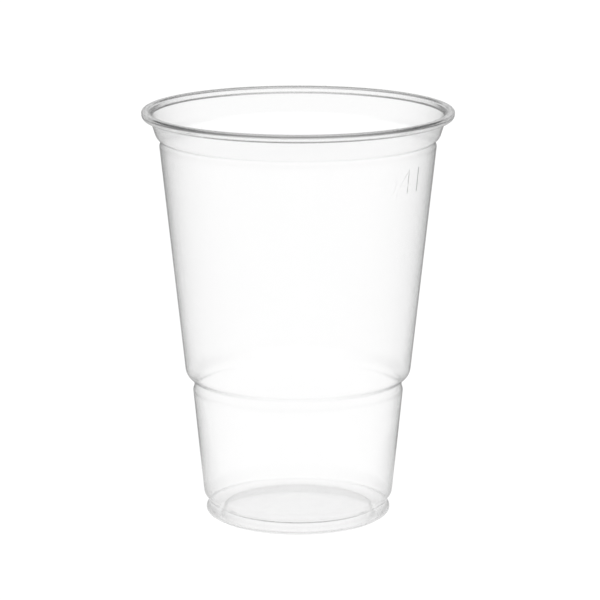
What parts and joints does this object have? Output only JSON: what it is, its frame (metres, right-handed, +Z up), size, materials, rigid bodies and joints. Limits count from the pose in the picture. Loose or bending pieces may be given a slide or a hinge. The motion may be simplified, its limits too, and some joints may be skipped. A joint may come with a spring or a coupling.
{
  "type": "plastic disposable cup",
  "caption": "Tall clear one-piece cup with a rolled rim, a collar, a tapered wall with a grip step, and a raised floor inside a foot ring.",
  "frame": {"origin": "centre of the foot ring's flat land, on the surface the cup stands on", "axes": "+Z up along the cup's axis, out of its mouth; +X and +Y across it, and the cup is the same all round"},
  "size_m": [0.0948, 0.0948, 0.1262],
  "materials": {
    "clear_plastic": "clear"
  },
  "bodies": {
    "root": {"cup": "clear_plastic"}
  },
  "joints": []
}
